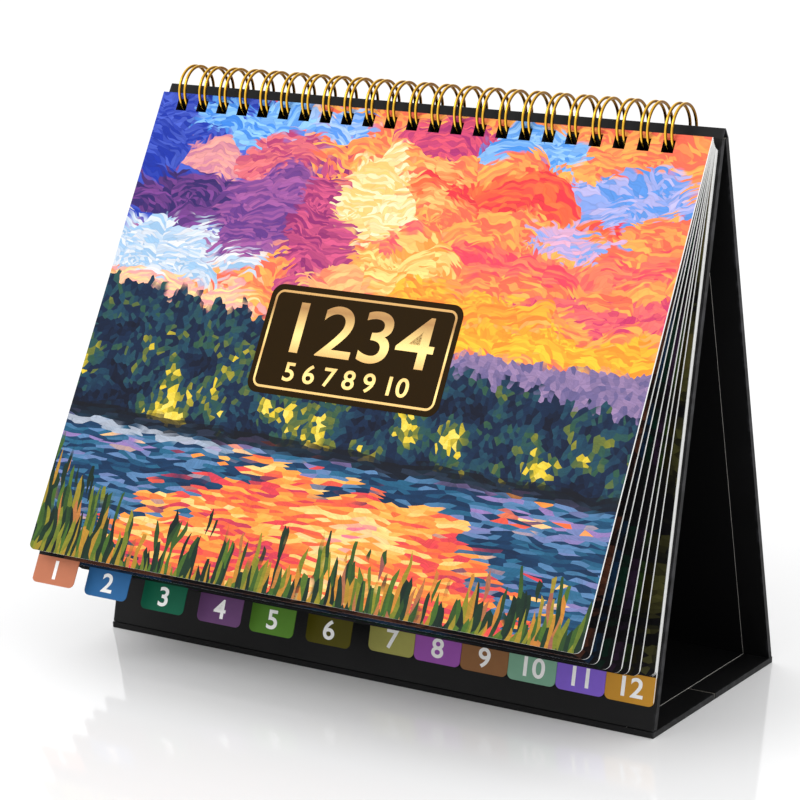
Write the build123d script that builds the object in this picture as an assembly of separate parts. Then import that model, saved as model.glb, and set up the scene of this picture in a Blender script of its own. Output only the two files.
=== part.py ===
from build123d import *
from dataclasses import dataclass
from math import atan, cos, radians, sin, sqrt, tan
import os

"""Flip desk calendar: a case-made folding easel, a twin-loop wire and thirteen tabbed sheets.

All sizes are in millimetres. X runs along the ridge, Y from front to back, Z up. The origin is on
the floor, under the ridge. One side profile drives the whole part: every panel and sheet is a slab
laid on its own plane, with `s` measured along it and `o` measured out of its outer face.
"""

# ---- driving sizes: wire and sheets ----------------------------------------------------------
PITCH = 8.4667          # three punched holes to the inch
LOOPS = 23              # pairs of wire loops
ROW_SHIFT = -2.4        # middle of the hole row from the middle of the sheets
PAIR_GAP = 2.2          # centre to centre of the two wires of a pair
WIRE_R = 0.5            # wire radius
BEND_R = 0.54           # the wire is a little thicker where it is bent
RING_R = 8.3            # loop radius, on the wire's centre line
RING_BELOW_RIDGE = 2.0  # loop centre under the top of the ridge
SEAM_BRIDGE = 329.0     # where the bridges between pairs lie on the loop, degrees from straight down
SEAM_TIP = 318.0        # where the closed ends of the pairs lie
HOLE = 4.2              # square punched hole
HOLE_MARGIN = 2.1       # sheet edge to hole
SHEET_W = 210.0
SHEET_H = 164.0
SHEET_T = 0.26
SHEET_STEP = 0.28       # sheet thickness and the air between two sheets
CORNER_R = 2.5
TAB_H = 9.3
MONTHS = 12
TAB_W = SHEET_W / MONTHS
TAB_CORNER_R = 2.0
HANG_GAP = 0.08         # air between the wire and the top of a hole

# ---- driving sizes: easel --------------------------------------------------------------------
STAND_W = 212.0
STAND_D = 85.0
RIDGE_Z = 185.4
RIDGE_STRIP_H = 3.3     # height of the folded cloth above the boards
SKIN = 0.25
CORE = 1.5
TURN_IN_T = 0.20
LINING = 0.30
TURN_IN = 9.5           # width of the skin folded round to the inside
CLOTH = 0.45            # skin and lining together, where there is no board
CREASE_HALF = 0.5       # half the gap between the two leaves of the base
EASE = 0.05             # air between pieces that are not glued
RIDGE_ROUND = 0.35

PANEL_T = SKIN + CORE + LINING
HALF_D = STAND_D / 2
BOARD_TOP_Z = RIDGE_Z - RIDGE_STRIP_H
TOP_HALF = PANEL_T + EASE
TILT = atan((HALF_D - TOP_HALF) / BOARD_TOP_Z)
RING_Z = RIDGE_Z - RING_BELOW_RIDGE

# Sheets from the board outwards, with the angle each one stands off the sheet behind it.
SHEETS = (
    ("sheet_dec", 0.0), ("sheet_nov", 0.0), ("sheet_oct", 0.0), ("sheet_sep", 0.0),
    ("sheet_aug", 0.0), ("sheet_jul", 0.0), ("sheet_jun", 3.6), ("sheet_may", 2.4),
    ("sheet_apr", 1.7), ("sheet_mar", 2.6), ("sheet_feb", 2.7), ("sheet_jan", 2.0),
    ("sheet_cover", 2.0),
)


@dataclass(frozen=True)
class Panel:
    """One stiff panel of the easel: the plane of its outer face and its span along `s`."""

    name: str
    plane: Plane
    start: float        # where the core begins
    end: float          # where the core ends
    skin_start: float   # where the skin begins
    skin_end: float     # where the skin ends


def slab(plane, x0, x1, s0, s1, o0, o1):
    """A box given by its limits along the plane's own x, y and z."""
    centre = Pos((x0 + x1) / 2, (s0 + s1) / 2, (o0 + o1) / 2)
    return plane * (centre * Box(x1 - x0, s1 - s0, o1 - o0))


def hole_xs():
    """X of every hole and pair of loops."""
    return [ROW_SHIFT + PITCH * (k - (LOOPS - 1) / 2) for k in range(LOOPS)]


def punch(solid, plane, s_mid):
    """Cuts the row of square holes through a solid, whichever way its plane's x runs."""
    own_xs = [x * plane.x_dir.X for x in hole_xs()]
    cutters = [slab(plane, x - HOLE / 2, x + HOLE / 2, s_mid - HOLE / 2, s_mid + HOLE / 2, -8, 8)
               for x in own_xs]
    return solid - cutters


def panels():
    """The four panels: two sloping boards and the two leaves of the base."""
    length = BOARD_TOP_Z / cos(TILT)
    foot = (PANEL_T + EASE + PANEL_T * sin(TILT)) / cos(TILT)
    skin_foot = (PANEL_T + EASE / 2 + SKIN * sin(TILT)) / cos(TILT)
    front = Plane(origin=(0, -HALF_D, 0), x_dir=(1, 0, 0), z_dir=(0, -cos(TILT), sin(TILT)))
    back = Plane(origin=(0, HALF_D, 0), x_dir=(-1, 0, 0), z_dir=(0, cos(TILT), sin(TILT)))
    leaf_front = Plane(origin=(0, -HALF_D, 0), x_dir=(-1, 0, 0), z_dir=(0, 0, -1))
    leaf_rear = Plane(origin=(0, HALF_D, 0), x_dir=(1, 0, 0), z_dir=(0, 0, -1))
    leaf_end = HALF_D - CREASE_HALF
    return (
        Panel("front", front, foot, length, skin_foot, length),
        Panel("back", back, foot, length, skin_foot, length),
        Panel("base_front", leaf_front, SKIN + EASE, leaf_end, 0.0, HALF_D + CREASE_HALF - 0.1),
        Panel("base_rear", leaf_rear, SKIN + EASE, leaf_end, 0.0, leaf_end),
    )


def panel_pieces(panel):
    """Core board, wrapped skin and inner lining of a panel."""
    half = STAND_W / 2
    turn_o = -(SKIN + CORE + TURN_IN_T)
    core = slab(panel.plane, -half + SKIN, half - SKIN, panel.start, panel.end, -(SKIN + CORE), -SKIN)
    skin = slab(panel.plane, -half, half, panel.skin_start, panel.skin_end, -SKIN, 0)
    for side in (-1, 1):
        wrap = slab(panel.plane, *sorted((side * half, side * (half - SKIN))),
                    panel.start, panel.end, turn_o, -SKIN / 2)
        turn_in = slab(panel.plane, *sorted((side * half, side * (half - TURN_IN))),
                       panel.start, panel.end, turn_o, -(SKIN + CORE))
        skin = skin + wrap + turn_in
    lining_half = half - TURN_IN - EASE
    lining = slab(panel.plane, -lining_half, lining_half, panel.start, panel.end,
                  -PANEL_T, -(SKIN + CORE))
    return {"core": core, "skin": skin, "lining": lining}


def ring_s(plane):
    """`s` and `o` of the loop centre in a panel's own plane."""
    local = plane.to_local_coords(Vector(0, 0, RING_Z))
    return local.Y, local.Z


def ridge_cloth():
    """The folded cloth of the ridge: a thin inverted V resting on the tops of both boards."""
    slope = atan(TOP_HALF / RIDGE_STRIP_H)
    foot_z = BOARD_TOP_Z + 0.02
    inner_y = TOP_HALF - CLOTH / cos(slope)
    inner_z = foot_z - (TOP_HALF - inner_y) * tan(TILT)
    apex_in = RIDGE_Z - CLOTH / sin(slope)
    points = [(-TOP_HALF, foot_z), (0, RIDGE_Z), (TOP_HALF, foot_z),
              (inner_y, inner_z), (0, apex_in), (-inner_y, inner_z)]
    profile = Plane.YZ * make_face(Polyline(points, close=True))
    strip = extrude(profile, amount=STAND_W / 2, both=True)
    top = strip.edges().filter_by(Axis.X).sort_by(Axis.Z)[-1]
    return fillet(top, RIDGE_ROUND)


def corner_cloth(panel):
    """The skin that turns the corner from a leaf of the base up to the sloping board."""
    half = STAND_W / 2
    return slab(panel.plane, -half, half, 0, SKIN, -(SKIN + CORE + TURN_IN_T), -SKIN)


def crease_cloth(panel):
    """The lining across the gap between the two leaves."""
    half = STAND_W / 2 - TURN_IN - EASE
    edge = CREASE_HALF - 0.1
    return slab(panel.plane, -half, half, HALF_D - CREASE_HALF, HALF_D + edge,
                -PANEL_T, -(SKIN + CORE))


def on_ring(x, angle):
    """A point of a loop's centre line; the angle runs from straight down towards the front."""
    a = radians(angle)
    return Vector(x, -RING_R * sin(a), RING_Z - RING_R * cos(a))


def loop(x):
    """One round wire, open for the few degrees of the seam."""
    start = SEAM_BRIDGE - 360
    tangent = Vector(0, -cos(radians(start)), sin(radians(start)))
    section = Plane(origin=on_ring(x, start), x_dir=(1, 0, 0), z_dir=tangent) * Circle(WIRE_R)
    axis = Axis((0, 0, RING_Z), (-1, 0, 0))
    return revolve(section, axis=axis, revolution_arc=SEAM_TIP - start)


def rod(x0, x1, angle):
    """A straight piece of wire along X."""
    return Plane(origin=on_ring((x0 + x1) / 2, angle), z_dir=(1, 0, 0)) * Cylinder(WIRE_R, x1 - x0)


def bend(x, angle):
    """The rounded turn where a loop meets a straight piece."""
    return Pos(on_ring(x, angle)) * Sphere(BEND_R)


def loop_pair(x):
    """Two loops joined by their closed end."""
    sides = (x - PAIR_GAP / 2, x + PAIR_GAP / 2)
    bends = [bend(side, angle) for side in sides for angle in (SEAM_BRIDGE, SEAM_TIP)]
    return [loop(side) for side in sides] + [rod(*sides, SEAM_TIP)] + bends


def twin_loop_wire():
    """The whole wire: all pairs joined by the bridges of the seam."""
    xs = hole_xs()
    pieces = [piece for x in xs for piece in loop_pair(x)]
    pieces += [rod(a + PAIR_GAP / 2, b - PAIR_GAP / 2, SEAM_BRIDGE) for a, b in zip(xs, xs[1:])]
    return pieces[0].fuse(*pieces[1:])


def sheet(index, tilt, tab):
    """One punched sheet hanging on the wire, with its index tab, if it has one."""
    lean = TILT + radians(tilt)
    offset = ring_gap() + SHEET_T / 2 + SHEET_STEP * index
    normal = Vector(0, -cos(lean), sin(lean))
    plane = Plane(origin=Vector(0, 0, RING_Z) + normal * offset, x_dir=(1, 0, 0), z_dir=normal)
    reach = sqrt((RING_R - WIRE_R) ** 2 - (offset + SHEET_T / 2) ** 2)
    hole_top = HANG_GAP - reach
    top = hole_top + HOLE_MARGIN
    bottom = top - SHEET_H
    outline = Pos(0, (top + bottom) / 2) * Rectangle(SHEET_W, SHEET_H)
    if tab is None:
        low = outline.vertices().group_by(Axis.Y)[0]
        outline = fillet(low, CORNER_R)
    else:
        x_mid = -SHEET_W / 2 + TAB_W * (tab + 0.5)
        low = [v for v in outline.vertices().group_by(Axis.Y)[0] if abs(v.X - x_mid) > TAB_W]
        outline = fillet(low, CORNER_R)
        tongue = Pos(x_mid, bottom - TAB_H / 2 + 1) * Rectangle(TAB_W, TAB_H + 2)
        tongue = fillet(tongue.vertices().group_by(Axis.Y)[0], TAB_CORNER_R)
        outline = outline + tongue
    holes = [Pos(x, hole_top - HOLE / 2) * Rectangle(HOLE, HOLE) for x in hole_xs()]
    outline = outline - holes
    return plane * extrude(outline, amount=SHEET_T / 2, both=True)


def ring_gap():
    """Distance from the loop centre to the first sheet's back face, across the front board."""
    front = panels()[0]
    return -ring_s(front.plane)[1] + EASE


def build():
    """Every node of the part, by name."""
    nodes = {}
    front, back, base_front, base_rear = panels()
    for panel in (front, back, base_front, base_rear):
        pieces = panel_pieces(panel)
        if panel in (front, back):
            s_ring, o_ring = ring_s(panel.plane)
            s_mid = s_ring - sqrt(RING_R ** 2 - (o_ring + PANEL_T / 2) ** 2)
            pieces = {key: punch(piece, panel.plane, s_mid) for key, piece in pieces.items()}
        for key, piece in pieces.items():
            nodes[f"{panel.name}_{key}"] = piece
    nodes["ridge_hinge"] = ridge_cloth()
    nodes["front_corner_hinge"] = corner_cloth(base_front)
    nodes["rear_corner_hinge"] = corner_cloth(base_rear)
    nodes["crease_hinge"] = crease_cloth(base_front)
    nodes["twin_loop_wire"] = twin_loop_wire()
    tilt = 0.0
    for index, (name, step) in enumerate(SHEETS):
        tilt += step
        tab = None if name == "sheet_cover" else MONTHS - 1 - index
        nodes[name] = sheet(index, tilt, tab)
    return nodes


if __name__ == "__main__":
    os.makedirs("parts", exist_ok=True)
    for node, shape in build().items():
        shape.label = node
        export_step(shape, f"parts/{node}.step")
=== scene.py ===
"""Desk calendar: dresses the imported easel, its gold wire and its tabbed sheets, and lights them."""

import logging
import math
from dataclasses import dataclass, field
from enum import Enum
from typing import Any, Sequence

import bpy
from mathutils import Matrix, Vector


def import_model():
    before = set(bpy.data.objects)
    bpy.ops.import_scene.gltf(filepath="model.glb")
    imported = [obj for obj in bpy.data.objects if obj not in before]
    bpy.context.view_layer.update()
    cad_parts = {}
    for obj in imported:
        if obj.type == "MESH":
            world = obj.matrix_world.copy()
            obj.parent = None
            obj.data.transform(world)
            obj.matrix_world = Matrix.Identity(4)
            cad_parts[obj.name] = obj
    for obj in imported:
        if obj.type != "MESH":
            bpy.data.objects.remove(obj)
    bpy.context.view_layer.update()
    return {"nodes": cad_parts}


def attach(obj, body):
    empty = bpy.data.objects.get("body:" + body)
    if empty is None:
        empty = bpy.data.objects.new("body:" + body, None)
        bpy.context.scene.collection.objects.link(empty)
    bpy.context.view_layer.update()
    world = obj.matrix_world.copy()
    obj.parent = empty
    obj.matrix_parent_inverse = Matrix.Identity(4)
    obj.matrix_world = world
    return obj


LOG = logging.getLogger("desk_calendar")
MM_PER_M = 1000
Colour = tuple[float, float, float]


class Axis(Enum):
    """One axis of a vector, as its socket is named."""

    X = "X"
    Y = "Y"


def linear(red: int, green: int, blue: int) -> Colour:
    """Turns a display colour into the linear one that a shader takes.

    Args:
        red: red, 0 to 255.
        green: green, 0 to 255.
        blue: blue, 0 to 255.

    Returns:
        The linear colour.
    """
    def channel(value: int) -> float:
        """One channel of the display curve."""
        level = value / 255
        return level / 12.92 if level <= 0.04045 else ((level + 0.055) / 1.055) ** 2.4
    return channel(red), channel(green), channel(blue)


class Signal:
    """A socket that can be used in Python expressions."""

    def __init__(self, shader: "Shader", socket: bpy.types.NodeSocket) -> None:
        """Keeps the socket and the shader it belongs to."""
        self.shader = shader
        self.socket = socket

    def math(self, operation: str, *others: Any) -> "Signal":
        """Adds one Math node with this signal as its first value."""
        return self.shader.node("Math", {"operation": operation}, [self, *others])

    def __add__(self, other: Any) -> "Signal":
        """Sum."""
        return self.math("ADD", other)

    __radd__ = __add__

    def __sub__(self, other: Any) -> "Signal":
        """Difference."""
        return self.math("SUBTRACT", other)

    def __rsub__(self, other: Any) -> "Signal":
        """Difference, the other way round."""
        return self.shader.node("Math", {"operation": "SUBTRACT"}, [other, self])

    def __mul__(self, other: Any) -> "Signal":
        """Product."""
        return self.math("MULTIPLY", other)

    __rmul__ = __mul__

    def __truediv__(self, other: Any) -> "Signal":
        """Quotient."""
        return self.math("DIVIDE", other)

    def __abs__(self) -> "Signal":
        """Size without sign."""
        return self.math("ABSOLUTE")

    def above(self, limit: Any) -> "Signal":
        """One where the signal is greater than a limit."""
        return self.math("GREATER_THAN", limit)

    def ease(self, low: float, high: float) -> "Signal":
        """A soft step.

        Args:
            low: where the step starts, giving 0.
            high: where it ends, giving 1; it may be less than low.

        Returns:
            The step's value, 0 to 1.
        """
        if high < low:
            return 1 - self.ease(high, low)
        return self.shader.node("MapRange", {"interpolation_type": "SMOOTHSTEP"}, [self, low, high])


class Shader:
    """A material under construction, with the few kinds of step that the finishes share."""

    def __init__(self, name: str) -> None:
        """Starts an empty material with one Principled shader."""
        self.material = bpy.data.materials.new(name)
        self.material.use_nodes = True
        self.tree = self.material.node_tree
        self.surface = self.tree.nodes["Principled BSDF"]
        self.place = self.node("TexCoord", out="Object")
        self.facing = self.node("TexCoord", out="Normal")

    def node(self, kind: str, settings: dict[str, Any] | None = None,
             values: Sequence[Any] | dict[str, Any] = (), out: int | str = 0) -> Signal:
        """Adds any node.

        Args:
            kind: the node's type, without its usual prefix.
            settings: properties set before the inputs; "stops" fills a colour ramp.
            values: numbers, colours or signals for the inputs, in order or by name.
            out: which output is returned.

        Returns:
            The chosen output.
        """
        prefix = "ShaderNodeTex" if kind in ("Noise", "Voronoi", "Wave") else "ShaderNode"
        made = self.tree.nodes.new(prefix + kind)
        for key, value in (settings or {}).items():
            if key == "stops":
                self._fill_ramp(made, value)
            else:
                setattr(made, key, value)
        pairs = values.items() if isinstance(values, dict) else enumerate(values)
        for key, value in pairs:
            self.feed(made.inputs[key], value)
        return Signal(self, made.outputs[out])

    @staticmethod
    def _fill_ramp(made: bpy.types.Node, stops: Sequence[tuple[float, Colour]]) -> None:
        """Sets a colour ramp's stops."""
        band = made.color_ramp.elements
        while len(band) < len(stops):
            band.new(0.5)
        for element, (position, colour) in zip(band, stops):
            element.position = position
            element.color = (*colour, 1)

    def feed(self, socket: bpy.types.NodeSocket, value: Any) -> None:
        """Links a signal to an input, or sets a plain value on it."""
        if isinstance(value, Signal):
            self.tree.links.new(value.socket, socket)
        elif isinstance(value, (tuple, list)) and len(socket.default_value) == 4:
            socket.default_value = (*value[:3], 1)
        else:
            socket.default_value = value

    def set(self, **inputs: Any) -> None:
        """Sets the surface shader's inputs; an underscore stands for a space."""
        for key, value in inputs.items():
            self.feed(self.surface.inputs[key.replace("_", " ")], value)

    def mix(self, amount: Any, first: Any, second: Any) -> Signal:
        """Blends two colours."""
        made = self.tree.nodes.new("ShaderNodeMix")
        made.data_type = "RGBA"
        for index, value in ((0, amount), (6, first), (7, second)):
            self.feed(made.inputs[index], value)
        return Signal(self, made.outputs[2])

    def tint(self, colour: Any, amount: Any) -> Signal:
        """Multiplies a colour by a value."""
        return self.node("VectorMath", {"operation": "SCALE"},
                         {"Vector": colour, "Scale": amount})

    def ramp(self, amount: Signal, stops: Sequence[tuple[float, Colour]]) -> Signal:
        """Looks a value up in a band of colours."""
        return self.node("ValToRGB", {"stops": stops}, [amount])

    def vector(self, x: Any, y: Any, z: Any = 0.0) -> Signal:
        """Joins three values to one vector."""
        return self.node("CombineXYZ", None, [x, y, z])

    def scaled(self, vector: Signal, factors: Colour) -> Signal:
        """Multiplies a vector by three factors."""
        return self.node("VectorMath", {"operation": "MULTIPLY"}, [vector, factors])

    def shifted(self, vector: Any, factors: Colour, offset: Any) -> Signal:
        """Multiplies a vector by three factors and adds another vector."""
        return self.node("VectorMath", {"operation": "MULTIPLY_ADD"}, [vector, factors, offset])

    def noise(self, vector: Signal, scale: float, detail: float = 2.0,
              out: str = "Fac") -> Signal:
        """Cloudy noise at a scale in turns per unit of the vector."""
        return self.node("Noise", {"noise_dimensions": "3D"},
                         {"Vector": vector, "Scale": scale, "Detail": detail}, out)

    def bump(self, height: Signal, strength: float, depth: float) -> None:
        """Raises the surface by a height, as relief in the normal only."""
        raised = self.node("Bump", None,
                           {"Strength": strength, "Distance": depth, "Height": height})
        self.set(Normal=raised)

    def component(self, vector: Signal, axis: Axis) -> Signal:
        """One component of a vector."""
        return self.node("SeparateXYZ", None, [vector], axis.value)

    def along(self, vector: Signal, axis: Vector) -> Signal:
        """The length of a vector along a fixed direction."""
        return self.node("VectorMath", {"operation": "DOT_PRODUCT"},
                         [vector, tuple(axis)], "Value")


@dataclass(frozen=True)
class SheetPlane:
    """Where one flat sheet lies: its face's outward normal, its downward direction and its top."""

    out: Vector
    down: Vector
    top: float
    face: float

    @classmethod
    def of(cls, node: bpy.types.Object) -> "SheetPlane":
        """Reads the plane from a sheet's own mesh.

        Args:
            node: the sheet.

        Returns:
            Its plane, in metres.
        """
        largest = max(node.data.polygons, key=lambda face: face.area)
        out = Vector((0, largest.normal.y, largest.normal.z)).normalized()
        if out.y > 0:
            out = -out
        down = Vector((0, -out.z, out.y))
        places = [vertex.co for vertex in node.data.vertices]
        return cls(out, down, min(down.dot(p) for p in places), max(out.dot(p) for p in places))

    def point(self, across: float, drop: float, lift: float) -> Vector:
        """A place on the sheet.

        Args:
            across: metres from the sheet's middle, to the right.
            drop: metres below its top edge.
            lift: metres in front of its printed face.

        Returns:
            The place in the row frame.
        """
        return Vector((across, 0, 0)) + self.down * (self.top + drop) + self.out * (self.face + lift)

    def matrix(self, across: float, drop: float, lift: float) -> Matrix:
        """A transform that lays a drawing in X and Y on the sheet at a place."""
        turned = Matrix((Vector((1, 0, 0)), -self.down, self.out)).transposed()
        return Matrix.Translation(self.point(across, drop, lift)) @ turned.to_4x4()


@dataclass(frozen=True)
class Leatherette:
    """Fine matt black leatherette, with a painted highlight that makes it a little paler along its ends."""

    base: Colour = linear(9, 9, 10)
    # Pale grey of the painted highlight along the board ends.
    highlight_grey: Colour = linear(58, 58, 62)
    end: float = 0.106

    def make(self) -> bpy.types.Material:
        """Builds the material."""
        shader = Shader("leatherette")
        pebbles = shader.node("Voronoi", {"feature": "F1"},
                              {"Vector": shader.place, "Scale": 1900.0}, "Distance")
        cloud = shader.noise(shader.place, 45.0, 3.0)
        fine = shader.noise(shader.place, 2600.0, 2.0)
        side = abs(shader.component(shader.place, Axis.X))
        # Painted highlight: the ends of the boards are lightened towards pale grey, broken up by noise.
        edge_highlight = side.ease(self.end - 0.0011, self.end) * shader.noise(shader.place, 260.0).ease(0.4, 0.7)
        shade = shader.tint(self.base, 0.75 + cloud * 0.55)
        shader.set(Base_Color=shader.mix(edge_highlight * 0.55, shade, self.highlight_grey),
                   Roughness=0.42 + cloud * 0.16 + fine * 0.06, Specular_IOR_Level=0.2)
        shader.bump(pebbles + fine * 0.6, 0.32, 0.00006)
        return shader.material


@dataclass(frozen=True)
class LiningPaper:
    """Black lining paper whose cut edge shows its pale core."""

    base: Colour = linear(9, 9, 10)
    core: Colour = linear(205, 202, 196)

    def make(self) -> bpy.types.Material:
        """Builds the material."""
        shader = Shader("lining_paper")
        fibre = shader.noise(shader.scaled(shader.place, (1.0, 3.0, 3.0)), 900.0, 4.0)
        cloud = shader.noise(shader.place, 30.0, 3.0)
        cut = abs(shader.component(shader.facing, Axis.X)).ease(0.45, 0.55)
        shade = shader.tint(self.base, 0.8 + cloud * 0.4)
        shader.set(Base_Color=shader.mix(cut, shade, self.core),
                   Roughness=0.55 + fibre * 0.14, Specular_IOR_Level=0.12)
        shader.bump(fibre, 0.15, 0.00004)
        return shader.material


@dataclass(frozen=True)
class Millboard:
    """Grey board with flecks of fibre."""

    base: Colour = linear(150, 146, 138)

    def make(self) -> bpy.types.Material:
        """Builds the material."""
        shader = Shader("millboard")
        fibre = shader.noise(shader.scaled(shader.place, (1.0, 4.0, 4.0)), 700.0, 5.0)
        flecks = shader.noise(shader.place, 1500.0, 1.0).ease(0.62, 0.72)
        shade = shader.tint(self.base, 0.7 + fibre * 0.6)
        shader.set(Base_Color=shader.mix(flecks * 0.5, shade, linear(96, 90, 82)), Roughness=0.9)
        shader.bump(fibre, 0.3, 0.00005)
        return shader.material


@dataclass(frozen=True)
class GoldWire:
    """Bright gold-coloured wire, with painted shade and dark reflection in brown on its flanks and inside the
    loops.
    """

    centre: Vector
    bright: Colour = linear(252, 198, 66)
    # Brown of the painted shade and dark reflection.
    shade_brown: Colour = linear(116, 74, 22)

    def make(self) -> bpy.types.Material:
        """Builds the material."""
        shader = Shader("gold_wire")
        spoke = shader.shifted(shader.place, (0.0, 1.0, 1.0), tuple(-self.centre))
        spoke = shader.node("VectorMath", {"operation": "NORMALIZE"}, [spoke])
        outward = shader.node("VectorMath", {"operation": "DOT_PRODUCT"}, [spoke, shader.facing], "Value")
        # Painted shade and dark reflection: the wire's flanks and the insides of its loops are darkened
        # towards brown.
        flank = abs(shader.component(shader.facing, Axis.X)).ease(0.25, 0.85)
        inside = outward.ease(0.3, -0.3)
        cloud = shader.noise(shader.place, 220.0, 2.0)
        lines = shader.noise(shader.place, 2400.0, 2.0)
        painted_shade = flank.math("MAXIMUM", inside * 0.8) * (0.75 + cloud * 0.4)
        shader.set(Base_Color=shader.mix(painted_shade, self.bright, self.shade_brown),
                   Metallic=1.0, Roughness=0.14 + lines * 0.12)
        return shader.material


@dataclass(frozen=True)
class GoldFoil:
    """Gold printing, with a painted sheen that runs from pale to bronze and back down each figure."""

    plane: SheetPlane
    top: float
    bottom: float
    pale: Colour = linear(250, 216, 132)
    mid: Colour = linear(206, 160, 88)
    bronze: Colour = linear(158, 112, 52)

    def make(self) -> bpy.types.Material:
        """Builds the material."""
        shader = Shader("gold_foil")
        # Painted sheen: bands of pale and bronze down each figure stand in for light reflected by the foil.
        drop = shader.along(shader.place, self.plane.down) - (self.plane.top + self.top)
        band = drop / (self.bottom - self.top)
        colour = shader.ramp(band, [(0.0, self.mid), (0.2, self.bronze), (0.45, self.pale),
                                    (0.62, self.mid), (0.8, self.pale), (1.0, self.mid)])
        grain = shader.noise(shader.place, 1800.0, 2.0)
        shader.set(Base_Color=colour, Metallic=0.25, Roughness=0.3 + grain * 0.15)
        return shader.material


@dataclass(frozen=True)
class PlainInk:
    """A flat printed colour with a trace of unevenness."""

    name: str
    colour: Colour
    rough: float = 0.38

    def make(self) -> bpy.types.Material:
        """Builds the material."""
        shader = Shader(self.name)
        cloud = shader.noise(shader.place, 300.0, 3.0)
        shader.set(Base_Color=shader.tint(self.colour, 0.9 + cloud * 0.2),
                   Roughness=self.rough + cloud * 0.08, Specular_IOR_Level=0.03)
        return shader.material


@dataclass(frozen=True)
class Paint:
    """A layer of strokes: each stroke's place, two chance values for it, and its relief."""

    home: Signal
    luck: Signal
    hue: Signal
    relief: Signal

    def spots(self, shader: Shader) -> tuple[Signal, Signal]:
        """The stroke's place as millimetres across and millimetres down."""
        return shader.component(self.home, Axis.X), 0 - shader.component(self.home, Axis.Y)


@dataclass(frozen=True)
class Stroke:
    """How paint is laid: a stroke's length and width in millimetres, and how it wanders."""

    length: float
    width: float
    sway: float
    bend: float = 0.022

    def lay(self, shader: Shader, place: Signal) -> Paint:
        """Breaks a surface up into strokes.

        Args:
            shader: the material being built.
            place: millimetres across and up.

        Returns:
            The layer of strokes.
        """
        drift = shader.noise(place, self.bend, 2.0, "Color")
        bent = shader.shifted(drift, (self.sway, self.sway, 0.0), place)
        cells = {"Vector": shader.scaled(bent, (1 / self.length, 1 / self.width, 1.0)), "Scale": 1.0}
        flat = {"voronoi_dimensions": "2D"}
        spot = shader.node("Voronoi", flat, cells, "Position")
        chance = shader.node("Voronoi", flat, cells, "Color")
        rim = shader.node("Voronoi", {**flat, "feature": "DISTANCE_TO_EDGE"}, cells, "Distance")
        bristle = shader.noise(shader.scaled(bent, (1.2 / self.length, 4.0 / self.width, 1.0)), 1.0, 2.0)
        centre = shader.scaled(spot, (self.length, self.width, 1.0))
        return Paint(shader.shifted(drift, (-self.sway, -self.sway, 0.0), centre),
                     shader.component(chance, Axis.X), shader.component(chance, Axis.Y),
                     bristle * 0.75 + rim.ease(0.0, 0.14) * 0.3)


@dataclass(frozen=True)
class Billows:
    """Strokes that arch over cloud billows, each about a root below the billow's middle.

    Lengths are millimetres: a billow's size, how far its root sinks and how far it strays to
    either side. `flat` is how much wider than tall a billow is, and `stagger` sets the strokes of
    one billow apart from those of the next.
    """

    size: float = 15.0
    flat: float = 1.7
    sink: float = 11.0
    stray: float = 16.0
    stagger: float = 90.0
    stroke: Stroke = Stroke(4.2, 1.5, 20.0, 0.045)

    def lay(self, shader: Shader, place: Signal) -> tuple[Paint, Signal, Signal]:
        """Breaks the sky up into billows, and each billow into curved strokes.

        Args:
            shader: the material being built.
            place: millimetres across and up.

        Returns:
            The layer of strokes, and the place and the chance value of the billow.
        """
        sway = self.stroke.sway
        drift = shader.noise(place, self.stroke.bend, 3.0, "Color")
        bent = shader.scaled(shader.shifted(drift, (sway, sway, 0.0), place), (1.0, self.flat, 1.0))
        flat = {"voronoi_dimensions": "2D"}
        cells = {"Vector": bent, "Scale": 1 / self.size}
        middle = shader.scaled(shader.node("Voronoi", flat, cells, "Position"), (1.0, 1.0, 0.0))
        chance = shader.component(shader.node("Voronoi", flat, cells, "Color"), Axis.X)
        root = shader.shifted(middle, (1.0, 1.0, 0.0), shader.vector((chance - 0.5) * self.stray, -self.sink))
        spoke = shader.shifted(root, (-1.0, -1.0, 0.0), bent)
        radius = shader.node("VectorMath", {"operation": "LENGTH"}, [spoke], "Value")
        angle = shader.component(spoke, Axis.Y).math("ARCTAN2", shader.component(spoke, Axis.X))
        curl = Stroke(self.stroke.length, self.stroke.width, 0.0).lay(
            shader, shader.vector(angle * self.sink + chance * self.stagger, radius))
        turn = (shader.component(curl.home, Axis.X) - chance * self.stagger) / self.sink
        reach = shader.component(curl.home, Axis.Y)
        tip = shader.vector(reach * turn.math("COSINE"), reach * turn.math("SINE"))
        home = shader.scaled(shader.shifted(tip, (1.0, 1.0, 0.0), root), (1.0, 1 / self.flat, 1.0))
        centre = shader.scaled(middle, (1.0, 1 / self.flat, 1.0))
        back = (-sway, -sway, 0.0)
        return (Paint(shader.shifted(drift, back, home), curl.luck, curl.hue, curl.relief),
                shader.shifted(drift, back, centre), chance)


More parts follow.
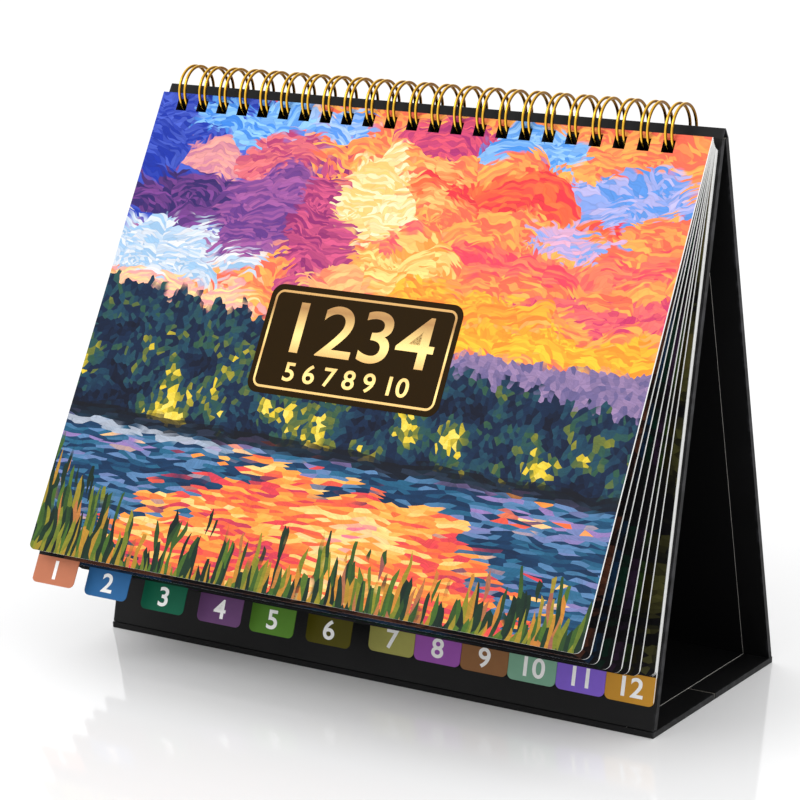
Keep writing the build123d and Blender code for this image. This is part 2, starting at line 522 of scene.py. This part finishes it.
@dataclass(frozen=True)
class Card:
    """Printed card with a narrow white margin at its sides, a white cut edge and a white back.

    Lengths are millimetres. The cut edges inside the punched holes lie in shade.
    """

    plane: SheetPlane
    edge: Colour = linear(236, 236, 234)
    back: Colour = linear(232, 231, 228)
    height: float = 164.0
    half: float = 105.0
    margin: float = 0.22
    holes_start: float = 1.0
    holes_end: float = 7.0
    shade: Colour = linear(14, 13, 13)

    def axes(self, shader: Shader) -> tuple[Signal, Signal, Signal]:
        """Finds place and facing on the card.

        Args:
            shader: the material being built.

        Returns:
            Millimetres across from the middle, millimetres down from the top, and the facing.
        """
        across = shader.component(shader.place, Axis.X) * MM_PER_M
        drop = (shader.along(shader.place, self.plane.down) - self.plane.top) * MM_PER_M
        return across, drop, shader.along(shader.facing, self.plane.out)

    def finish(self, shader: Shader, face: Signal, facing: Signal, rear: Any) -> None:
        """Puts the face, the rear and the cut edge together.

        Args:
            shader: the material being built.
            face: colour of the printed side.
            facing: 1 on the printed side, -1 on the back, 0 on the edge.
            rear: colour of the other side.
        """
        tooth = shader.noise(shader.place, 2200.0, 3.0)
        across, drop, _ = self.axes(shader)
        rim = abs(across).above(self.half - self.margin)
        punched = drop.above(self.holes_start) * (1 - drop.above(self.holes_end)) * (1 - rim)
        cut = shader.mix(drop.above(self.height), shader.mix(punched, self.edge, self.shade), face)
        sides = shader.mix(facing.ease(0.45, 0.55), cut, shader.mix(rim, face, self.edge))
        whole = shader.mix(facing.ease(-0.45, -0.55), sides, rear)
        shader.set(Base_Color=whole, Roughness=0.42 + tooth * 0.1, Specular_IOR_Level=0.12)
        shader.bump(tooth, 0.06, 0.00002)


@dataclass(frozen=True)
class MonthCard(Card):
    """A month's card: a dusky painted ground round a plain pale day grid, and a coloured tab.

    `cell` is the width and height of one day, and `line` the width of a ruled line.
    """

    name: str = "month"
    colour: Colour = (0.5, 0.5, 0.5)
    glow: Colour = (0.5, 0.5, 0.5)
    columns: int = 7
    rows: int = 6
    soft: float = 0.2
    cell: tuple[float, float] = (24.0, 15.0)
    grid_middle: float = 96.0
    line: float = 0.3
    paper: Colour = linear(238, 235, 228)
    rule: Colour = linear(122, 118, 112)

    def grid(self, across: Signal, drop: Signal) -> tuple[Signal, Signal]:
        """Finds the day grid of seven columns and six rows.

        Args:
            across: millimetres across from the middle.
            drop: millimetres down from the top.

        Returns:
            1 inside the grid, and 1 on its lines.
        """
        width, height = self.cell
        half_across, half_down = self.columns / 2 * width, self.rows / 2 * height
        below = drop - self.grid_middle
        inside = abs(across).ease(half_across + self.soft, half_across)
        inside = inside * abs(below).ease(half_down + self.soft, half_down)
        column = abs((across / width).math("FRACT") - 0.5) * width
        row = abs((below / height + 0.5).math("FRACT") - 0.5) * height
        lines = column.math("MINIMUM", row).ease(self.line, self.line / 2)
        return inside, lines

    def make(self) -> bpy.types.Material:
        """Builds the material."""
        shader = Shader(self.name)
        across, drop, facing = self.axes(shader)
        paint = Stroke(3.6, 1.7, 20.0, 0.03).lay(shader, shader.vector(across, 0 - drop))
        cloud = shader.noise(paint.home, 0.028, 4.0) + (paint.luck - 0.5) * 0.1
        dusk = [(0.0, linear(5, 5, 7)), (0.46, linear(13, 12, 15)),
                (0.58, tuple(0.2 * c for c in self.colour)), (0.7, self.glow), (1.0, self.glow)]
        picture = shader.tint(shader.ramp(cloud, dusk), 0.8 + paint.relief * 0.4)
        inside, lines = self.grid(across, drop)
        picture = shader.mix(inside, picture, shader.mix(lines, self.paper, self.rule))
        tab = drop.above(self.height)
        ink = shader.tint(self.colour, 0.94 + shader.noise(shader.place, 300.0) * 0.12)
        face = shader.mix(tab, picture, ink)
        self.finish(shader, face, facing, shader.mix(tab, self.back, ink))
        return shader.material


@dataclass(frozen=True)
class Patch:
    """A soft patch of sky, in millimetres on the sheet, with the two paints it is dabbed in."""

    across: float
    drop: float
    reach: float
    rise: float
    first: Colour
    second: Colour

    def over(self, shader: Shader, at: Signal, paint: Paint, under: Signal) -> Signal:
        """Paints the patch over what is there.

        Args:
            shader: the material being built.
            at: the place on the sheet, already curled.
            paint: the strokes in use.
            under: the colour underneath.

        Returns:
            The new colour.
        """
        shares = shader.shifted(at, (1 / self.reach, 1 / self.rise, 0.0),
                                (-self.across / self.reach, self.drop / self.rise, 0.0))
        far = shader.node("VectorMath", {"operation": "LENGTH"}, [shares], "Value")
        share = (far + (paint.luck - 0.5) * 0.35).ease(1.08, 0.92)
        return shader.mix(share, under, shader.mix(paint.hue.ease(0.0, 1.0), self.first, self.second))


@dataclass(frozen=True)
class CoverCard(Card):
    """The cover's card: a generic evening lake in thick dabs of paint.

    Heights are millimetres below the sheet's top: the foot of the sky over the hills, the tree
    tops, the far shore and the near bank. `curl` is how far the sky's patches are pulled about.
    """

    hills: float = 71.5
    trees: float = 90.5
    far_shore: float = 116.5
    bank: float = 166.0
    curl: float = 34.0
    air: tuple[Colour, Colour] = (linear(243, 104, 78), linear(252, 172, 84))
    patches: tuple[Patch, ...] = (
        Patch(-88, 16, 46, 40, linear(22, 48, 160), linear(70, 92, 196)),
        Patch(-62, 7, 26, 9, linear(58, 130, 220), linear(140, 194, 242)),
        Patch(-80, 35, 34, 9, linear(50, 34, 100), linear(120, 64, 140)),
        Patch(-70, 22, 16, 5, linear(196, 120, 150), linear(236, 160, 150)),
        Patch(-80, 55, 36, 14, linear(150, 188, 222), linear(222, 224, 230)),
        Patch(-78, 73, 36, 7, linear(246, 160, 158), linear(253, 216, 146)),
        Patch(-48, 38, 20, 20, linear(98, 54, 132), linear(160, 88, 154)),
        Patch(-52, 18, 14, 8, linear(176, 60, 110), linear(232, 116, 120)),
        Patch(-27, 44, 11, 28, linear(138, 42, 106), linear(208, 84, 128)),
        Patch(-32, 5, 12, 6, linear(84, 144, 226), linear(172, 200, 240)),
        Patch(18, 8, 22, 6, linear(168, 48, 110), linear(226, 84, 110)),
        Patch(-8, 28, 15, 15, linear(252, 196, 112), linear(255, 234, 186)),
        Patch(14, 24, 12, 9, linear(248, 132, 78), linear(253, 196, 116)),
        Patch(8, 52, 20, 11, linear(250, 150, 66), linear(254, 216, 130)),
        Patch(2, 42, 6, 5, linear(238, 86, 100), linear(248, 140, 96)),
        Patch(-12, 66, 14, 9, linear(240, 116, 92), linear(252, 188, 120)),
        Patch(50, 24, 44, 6, linear(228, 54, 66), linear(248, 112, 62)),
        Patch(48, 9, 20, 6, linear(70, 140, 220), linear(148, 194, 240)),
        Patch(86, 20, 22, 7, linear(88, 144, 220), linear(184, 178, 226)),
        Patch(70, 34, 18, 4, linear(120, 160, 226), linear(226, 168, 196)),
        Patch(66, 44, 44, 5, linear(236, 68, 92), linear(250, 130, 92)),
        Patch(36, 62, 34, 6, linear(255, 184, 58), linear(250, 132, 50)),
        Patch(86, 58, 26, 4, linear(206, 56, 104), linear(246, 110, 104)),
        Patch(66, 73, 52, 6, linear(255, 196, 54), linear(252, 144, 44)),
    )
    wood: tuple[tuple[float, Colour], ...] = (
        (0.00, linear(6, 14, 36)), (0.34, linear(14, 36, 66)), (0.48, linear(28, 68, 88)),
        (0.60, linear(44, 82, 62)), (0.70, linear(112, 118, 44)), (0.78, linear(224, 194, 48)),
        (1.00, linear(244, 218, 98)),
    )
    water: tuple[tuple[float, Colour], ...] = (
        (0.00, linear(8, 22, 50)), (0.36, linear(18, 56, 92)), (0.50, linear(36, 96, 128)),
        (0.64, linear(88, 128, 172)), (0.78, linear(146, 118, 176)), (1.00, linear(190, 176, 214)),
    )
    ember: tuple[tuple[float, Colour], ...] = (
        (0.00, linear(150, 44, 96)), (0.28, linear(222, 66, 74)), (0.46, linear(246, 112, 58)),
        (0.62, linear(252, 166, 70)), (0.78, linear(254, 214, 134)), (1.00, linear(240, 120, 140)),
    )
    grass: tuple[tuple[float, Colour], ...] = (
        (0.00, linear(10, 22, 26)), (0.32, linear(26, 52, 34)), (0.46, linear(70, 104, 38)),
        (0.58, linear(136, 132, 40)), (0.70, linear(196, 128, 48)), (0.84, linear(120, 60, 84)),
        (1.00, linear(232, 196, 110)),
    )

    def sky(self, shader: Shader, place: Signal) -> tuple[Signal, Paint]:
        """Paints the sky, whose patches are curled into billows.

        Args:
            shader: the material being built.
            place: millimetres across and up.

        Returns:
            The sky's colour and its strokes.
        """
        paint, centre, chance = Billows().lay(shader, place)
        spot = shader.shifted(centre, (0.3, 0.3, 0.0), shader.scaled(paint.home, (0.7, 0.7, 0.0)))
        swirl = shader.noise(spot, 0.042, 3.0, "Color")
        middle = shader.shifted(spot, (1.0, 1.0, 0.0), (-self.curl / 2, -self.curl / 2, 0.0))
        at = shader.shifted(swirl, (self.curl, self.curl, 0.0), middle)
        paint = Paint(paint.home, paint.luck, (chance - 0.5) * 0.5 + paint.hue, paint.relief)
        colour = shader.mix(paint.hue.ease(0.0, 1.0), *self.air)
        for patch in self.patches:
            colour = patch.over(shader, at, paint, colour)
        return colour, paint

    def shore(self, shader: Shader, place: Signal, scene: Signal) -> Signal:
        """Paints the far hills and the wooded bank over the sky.

        Args:
            shader: the material being built.
            place: millimetres across and up.
            scene: the colour underneath.

        Returns:
            The new colour.
        """
        paint = Stroke(1.8, 2.1, 8.0, 0.05).lay(shader, place)
        across, drop = paint.spots(shader)
        crest = shader.noise(shader.vector(across, 0.0), 0.05, 2.0)
        hills = (drop - crest * 12).ease(self.hills, self.hills + 1) * across.ease(-4.0, 22.0)
        scene = shader.mix(hills, scene, shader.mix(paint.luck, linear(98, 90, 136), linear(152, 126, 166)))
        spires = shader.noise(shader.vector(across, 0.0), 0.2, 4.0)
        trees = (drop + spires * 24 - across * 0.12).ease(self.trees, self.trees + 1)
        low = (drop - across * 0.08).ease(80.0, 98.0)
        clump = (shader.noise(paint.home, 0.05, 2.0) - 0.47) * 1.9 * low
        leaf = shader.noise(paint.home, 0.1, 3.0) * 0.7 + (paint.luck - 0.5) * 0.42 + clump + 0.05
        return shader.mix(trees, scene, shader.ramp(leaf, self.wood))

    def lake(self, shader: Shader, place: Signal, scene: Signal) -> Signal:
        """Paints the lake, the broken light on it and its dark far edge.

        Args:
            shader: the material being built.
            place: millimetres across and up.
            scene: the colour underneath.

        Returns:
            The new colour.
        """
        paint = Stroke(5.4, 1.15, 7.0, 0.04).lay(shader, place)
        across, drop = paint.spots(shader)
        ripple = shader.noise(shader.scaled(paint.home, (0.3, 1.6, 1.0)), 0.06, 3.0)
        tone = ripple * 0.9 + (paint.luck - 0.5) * 0.5 + 0.02
        near = drop.ease(118.0, 134.0)
        spread = abs(across - 2) - (drop - 118) * 0.9
        fire = spread.ease(74.0, 0.0) * near + (ripple - 0.5) * 1.6 + (paint.hue - 0.5) * 0.6
        heart = abs(across - 12 - (ripple - 0.5) * 30).ease(18.0, 4.0) * near * 0.2
        lit = shader.ramp(tone + heart, self.ember)
        water = shader.mix(fire.ease(0.36, 0.46), shader.ramp(tone, self.water), lit)
        line = drop - across * 0.022 - (shader.noise(shader.vector(across, 0.0), 0.06, 3.0) - 0.5) * 9
        edge = abs(line - self.far_shore).ease(3.4, 1.6)
        whole = shader.mix(line.ease(self.far_shore - 0.9, self.far_shore - 0.1), scene, water)
        sheen = abs(line - self.far_shore - 3.9 - (paint.luck - 0.5) * 2).ease(1.6, 0.9)
        left = across.ease(-18.0, -60.0)
        whole = shader.mix(sheen * left * 0.85, whole, linear(176, 184, 198))
        return shader.mix(edge * 0.9, whole, linear(9, 12, 22))

    def reeds(self, shader: Shader, place: Signal, scene: Signal) -> Signal:
        """Paints the near bank's grass over the water.

        Args:
            shader: the material being built.
            place: millimetres across and up.
            scene: the colour underneath.

        Returns:
            The new colour.
        """
        paint = Stroke(1.3, 7.5, 11.0, 0.03).lay(shader, place)
        across, drop = paint.spots(shader)
        rise = shader.noise(shader.vector(across, 0.0), 0.09, 4.0) * 26 + across.ease(-62.0, -102.0) * 16
        blades = (drop + rise + (paint.luck - 0.5) * 20).ease(self.bank, self.bank + 1)
        warmth = across.ease(-70.0, 40.0) * 0.1
        tuft = shader.noise(paint.home, 0.06, 3.0) * 0.8 + (paint.hue - 0.5) * 0.6 + warmth
        return shader.mix(blades, scene, shader.ramp(tuft, self.grass))

    def make(self) -> bpy.types.Material:
        """Builds the material."""
        shader = Shader("cover_card")
        across, drop, facing = self.axes(shader)
        place = shader.vector(across, 0 - drop)
        scene, paint = self.sky(shader, place)
        for layer in (self.shore, self.lake, self.reeds):
            scene = layer(shader, place, scene)
        face = shader.tint(scene, 0.7 + paint.luck * 0.16 + paint.relief * 0.42)
        self.finish(shader, face, facing, self.back)
        return shader.material


def flat_piece(name: str, outline: list[list[Vector]], place: Matrix,
               material: bpy.types.Material, body: str,
               thickness: float = 0.00003) -> bpy.types.Object:
    """Makes a thin printed shape from closed outlines, laid on a plane.

    Args:
        name: the piece's name.
        outline: closed loops of points; a loop inside another is a hole.
        place: where its plane lies.
        material: its finish.
        body: the body it rides on.
        thickness: how thick the film is, in metres.

    Returns:
        The piece.
    """
    curve = bpy.data.curves.new(name + "_outline", "CURVE")
    curve.dimensions = "2D"
    curve.fill_mode = "BOTH"
    curve.extrude = thickness / 2
    for points in outline:
        spline = curve.splines.new("POLY")
        spline.points.add(len(points) - 1)
        for point, at in zip(spline.points, points):
            point.co = (at.x, at.y, 0, 1)
        spline.use_cyclic_u = True
    return settle(curve, name, place, material, body)


def settle(curve: bpy.types.Curve, name: str, place: Matrix, material: bpy.types.Material,
           body: str) -> bpy.types.Object:
    """Turns a curve or text into a mesh piece that rides on a body.

    Args:
        curve: the curve or text data.
        name: the piece's name.
        place: its transform.
        material: its finish.
        body: the body it rides on.

    Returns:
        The piece.
    """
    source = bpy.data.objects.new(name + "_source", curve)
    bpy.context.scene.collection.objects.link(source)
    bpy.context.view_layer.update()
    graph = bpy.context.evaluated_depsgraph_get()
    mesh = bpy.data.meshes.new_from_object(source.evaluated_get(graph))
    bpy.data.objects.remove(source)
    mesh.transform(place)
    mesh.materials.clear()
    mesh.materials.append(material)
    piece = bpy.data.objects.new(name, mesh)
    bpy.context.scene.collection.objects.link(piece)
    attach(piece, body)
    return piece


def figures(name: str, text: str, size: float, place: Matrix, material: bpy.types.Material,
            body: str, weight: float = 0.0, stretch: float = 1.0) -> bpy.types.Object:
    """Prints plain figures, centred on a place.

    Args:
        name: the piece's name.
        text: the figures.
        size: their em size in metres.
        place: the transform of their middle.
        material: their ink.
        body: the body they ride on.
        weight: how far the strokes are thickened, in ems.
        stretch: how much wider than usual they are.

    Returns:
        The piece.
    """
    letters = bpy.data.curves.new(name + "_text", "FONT")
    letters.body = text
    letters.size = size
    letters.offset = weight * size
    letters.extrude = 0.000015
    letters.align_x = "CENTER"
    letters.align_y = "CENTER"
    wide = place @ Matrix.Diagonal((stretch, 1, 1, 1))
    return settle(letters, name, wide, material, body)


def rounded(width: float, height: float, radius: float, steps: int = 8) -> list[Vector]:
    """A rounded rectangle about the origin.

    Args:
        width: its width.
        height: its height.
        radius: its corner radius.
        steps: points along each corner, less one.

    Returns:
        The points, anticlockwise.
    """
    points = []
    for corner in range(4):
        centre_x = (width / 2 - radius) * (1 if corner in (0, 3) else -1)
        centre_y = (height / 2 - radius) * (1 if corner in (0, 1) else -1)
        for step in range(steps + 1):
            angle = math.pi / 2 * (corner + step / steps)
            points.append(Vector((centre_x + radius * math.cos(angle),
                                  centre_y + radius * math.sin(angle), 0)))
    return points


@dataclass
class Easel:
    """The folding stand of covered boards."""

    nodes: dict[str, bpy.types.Object]
    skins: tuple[str, ...] = ("front_skin", "back_skin", "base_front_skin", "base_rear_skin",
                              "ridge_hinge", "front_corner_hinge", "rear_corner_hinge")
    linings: tuple[str, ...] = ("front_lining", "back_lining", "base_front_lining",
                                "base_rear_lining", "crease_hinge")
    cores: tuple[str, ...] = ("front_core", "back_core", "base_front_core", "base_rear_core")

    def dress(self) -> None:
        """Gives skins, linings and cores their finishes."""
        for names, finish in ((self.skins, Leatherette()), (self.linings, LiningPaper()),
                              (self.cores, Millboard())):
            material = finish.make()
            for name in names:
                wear(self.nodes[name], material)
                LOG.info("easel: %s", name)


@dataclass
class WireBinding:
    """The gold wire along the ridge."""

    nodes: dict[str, bpy.types.Object]
    node: str = "twin_loop_wire"

    def dress(self) -> None:
        """Gives the wire its gold."""
        wire = self.nodes[self.node]
        places = [vertex.co for vertex in wire.data.vertices]
        middle = [(min(p[k] for p in places) + max(p[k] for p in places)) / 2 for k in (1, 2)]
        wear(wire, GoldWire(Vector((0, *middle))).make())
        LOG.info("wire: %s", self.node)


@dataclass
class Plaque:
    """The dark printed panel on the cover, with a gold line and plain gold figures."""

    plane: SheetPlane
    body: str = "sheet_cover"
    slot: str = "cover_print"
    middle: tuple[float, float] = (-0.0011, 0.0813)
    size: tuple[float, float] = (0.0732, 0.0372)
    corner: float = 0.0042
    inset: float = 0.0019
    line: float = 0.0008
    film: float = 0.00004
    large: float = 0.0245
    large_rise: float = 0.0036
    small: float = 0.0088
    small_drop: float = 0.0108

    def build(self) -> None:
        """Makes the panel, its line and its figures."""
        across, drop = self.middle
        width, height = self.size
        brown = PlainInk("plaque_brown", linear(40, 26, 4), 0.34).make()
        gold = GoldFoil(self.plane, drop - height / 2, drop + height / 2).make()
        flat_piece("cover_plaque", [rounded(width, height, self.corner)],
                   self.plane.matrix(across, drop, self.film), brown, self.body)
        outer = rounded(width - 2 * self.inset, height - 2 * self.inset, self.corner - self.inset * 0.6)
        shrink = self.inset + self.line
        inner = rounded(width - 2 * shrink, height - 2 * shrink, self.corner - shrink * 0.75)
        flat_piece("cover_plaque_line", [outer, inner],
                   self.plane.matrix(across, drop, self.film * 2), gold, self.body)
        figures("cover_figures", "1234", self.large,
                self.plane.matrix(across, drop - self.large_rise, self.film * 2), gold,
                self.body, weight=0.006, stretch=1.22)
        figures("cover_small_figures", "5 6 7 8 9 10", self.small,
                self.plane.matrix(across, drop + self.small_drop, self.film * 2), gold,
                self.body, weight=0.015, stretch=1.12)
        LOG.info("cover: plaque and figures")


@dataclass
class SheetPack:
    """The cover and the twelve month sheets with their index tabs."""

    nodes: dict[str, bpy.types.Object]
    tabs: dict[str, tuple[Colour, Colour]] = field(default_factory=lambda: {
        "jan": (linear(189, 117, 87), linear(60, 44, 40)),
        "feb": (linear(43, 100, 153), linear(52, 58, 70)),
        "mar": (linear(10, 90, 65), linear(38, 52, 46)),
        "apr": (linear(100, 65, 109), linear(58, 46, 64)),
        "may": (linear(80, 125, 40), linear(52, 62, 44)),
        "jun": (linear(77, 72, 3), linear(64, 58, 34)),
        "jul": (linear(165, 162, 87), linear(96, 74, 46)),
        "aug": (linear(155, 85, 173), linear(66, 48, 70)),
        "sep": (linear(143, 99, 62), linear(74, 56, 42)),
        "oct": (linear(124, 171, 145), linear(54, 66, 60)),
        "nov": (linear(130, 98, 206), linear(56, 50, 74)),
        "dec": (linear(195, 141, 49), linear(76, 62, 40)),
    })
    width: float = 0.210
    page: float = 0.164
    tab_height: float = 0.0093
    number: float = 0.0088

    def build(self) -> None:
        """Dresses each sheet and prints the number on its tab."""
        white = PlainInk("tab_white", linear(248, 248, 246), 0.4).make()
        step = self.width / len(self.tabs)
        for index, (month, (colour, glow)) in enumerate(self.tabs.items()):
            name = "sheet_" + month
            plane = SheetPlane.of(self.nodes[name])
            wear(self.nodes[name], MonthCard(plane, name="card_" + month, colour=colour, glow=glow).make())
            place = plane.matrix((index + 0.5) * step - self.width / 2,
                                 self.page + self.tab_height * 0.5, 0.00003)
            figures("tab_number_" + month, str(index + 1), self.number, place, white, name,
                    weight=0.018, stretch=1.1)
            LOG.info("sheet: %s", name)
        cover = self.nodes["sheet_cover"]
        plane = SheetPlane.of(cover)
        wear(cover, CoverCard(plane).make())
        Plaque(plane).build()


@dataclass
class Studio:
    """Pale glossy floor, soft white light and the camera."""

    lens: float = 130.0
    place: Colour = (0.49751, -0.79446, 0.31780)
    yaw: float = 32.755
    pitch: float = 13.894
    roll: float = -0.482

    def floor(self) -> None:
        """Lays the pale floor just under the stand."""
        mesh = bpy.data.meshes.new("studio_floor")
        reach = 6.0
        corners = [(-reach, -reach, -0.0001), (reach, -reach, -0.0001),
                   (reach, reach, -0.0001), (-reach, reach, -0.0001)]
        mesh.from_pydata(corners, [], [(0, 1, 2, 3)])
        floor = bpy.data.objects.new("studio_floor", mesh)
        bpy.context.scene.collection.objects.link(floor)
        shader = Shader("pale_floor")
        shader.set(Base_Color=(0.97, 0.97, 0.975), Roughness=0.07, Specular_IOR_Level=0.5,
                   Emission_Color=(1.0, 1.0, 1.0), Emission_Strength=0.04)
        mesh.materials.append(shader.material)

    def lamp(self, name: str, at: Colour, size: tuple[float, float], power: float) -> None:
        """Hangs one soft lamp that faces the object.

        Args:
            name: the lamp's name.
            at: where it hangs, in metres.
            size: the lamp's width and height.
            power: its output in watts.
        """
        light = bpy.data.lights.new(name, "AREA")
        light.shape = "RECTANGLE"
        light.size, light.size_y = size
        light.energy = power
        lamp = bpy.data.objects.new(name, light)
        lamp.location = at
        aim = Vector((0, -0.02, 0.09)) - Vector(at)
        lamp.rotation_euler = aim.to_track_quat("-Z", "Y").to_euler()
        bpy.context.scene.collection.objects.link(lamp)

    def lights(self) -> None:
        """Sets the white surround and the lamps."""
        world = bpy.data.worlds.new("studio_white")
        world.use_nodes = True
        world.node_tree.nodes["Background"].inputs["Color"].default_value = (1, 1, 1, 1)
        world.node_tree.nodes["Background"].inputs["Strength"].default_value = 1.0
        bpy.context.scene.world = world
        self.lamp("key_lamp", (-0.7, -1.3, 1.3), (0.9, 0.9), 9.0)
        self.lamp("side_lamp", (1.5, -0.3, 0.7), (0.5, 0.9), 3.0)
        bpy.context.scene.view_settings.view_transform = "Standard"

    def camera(self) -> None:
        """Sets the camera on the object's front right."""
        data = bpy.data.cameras.new("camera")
        data.lens = self.lens
        data.sensor_width = 36.0
        camera = bpy.data.objects.new("camera", data)
        yaw, pitch = math.radians(self.yaw), math.radians(self.pitch)
        forward = Vector((-math.sin(yaw) * math.cos(pitch), math.cos(yaw) * math.cos(pitch),
                          -math.sin(pitch)))
        turn = forward.to_track_quat("-Z", "Y").to_matrix().to_4x4()
        camera.matrix_world = (Matrix.Translation(self.place) @ turn
                               @ Matrix.Rotation(math.radians(self.roll), 4, "Z"))
        bpy.context.scene.collection.objects.link(camera)
        bpy.context.scene.camera = camera

    def build(self) -> None:
        """Sets up the whole studio."""
        self.floor()
        self.lights()
        self.camera()


def wear(node: bpy.types.Object, material: bpy.types.Material) -> None:
    """Gives a carried-over node one finish all over."""
    node.data.materials.clear()
    node.data.materials.append(material)


def main() -> None:
    """Dresses the calendar and sets the studio."""
    logging.basicConfig(level=logging.INFO, format="%(name)s: %(message)s")
    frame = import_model()
    nodes = frame["nodes"]
    Easel(nodes).dress()
    WireBinding(nodes).dress()
    SheetPack(nodes).build()
    Studio().build()
    bpy.context.view_layer.update()


if __name__ == "__main__":
    main()
